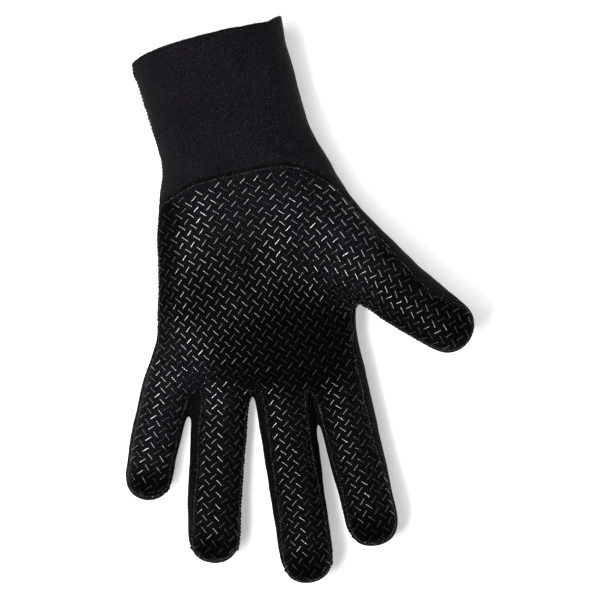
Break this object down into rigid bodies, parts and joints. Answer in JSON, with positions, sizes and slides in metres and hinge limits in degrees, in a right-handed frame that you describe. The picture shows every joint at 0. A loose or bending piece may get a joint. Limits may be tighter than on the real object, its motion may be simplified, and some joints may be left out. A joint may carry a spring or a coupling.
{
  "type": "diving glove",
  "caption": "Left-hand neoprene diving glove with a gripping palm panel of raised dashes, lying on its back with the palm up.",
  "frame": {"origin": "middle of the glove's bounding box at the height of the surface it lies on", "axes": "+X towards the thumb, -Y towards the fingertips, +Y towards the cuff, +Z out of the palm"},
  "size_m": [0.1636, 0.267, 0.0448],
  "materials": {
    "grip_palm": "matte",
    "smooth_neoprene": "matte"
  },
  "bodies": {
    "root": {"palm_panel": "grip_palm", "back_panel_with_cuff": "smooth_neoprene", "side_strip_pinky_ring": "smooth_neoprene", "side_strip_ring_middle": "smooth_neoprene", "side_strip_middle_index": "smooth_neoprene"}
  },
  "joints": []
}
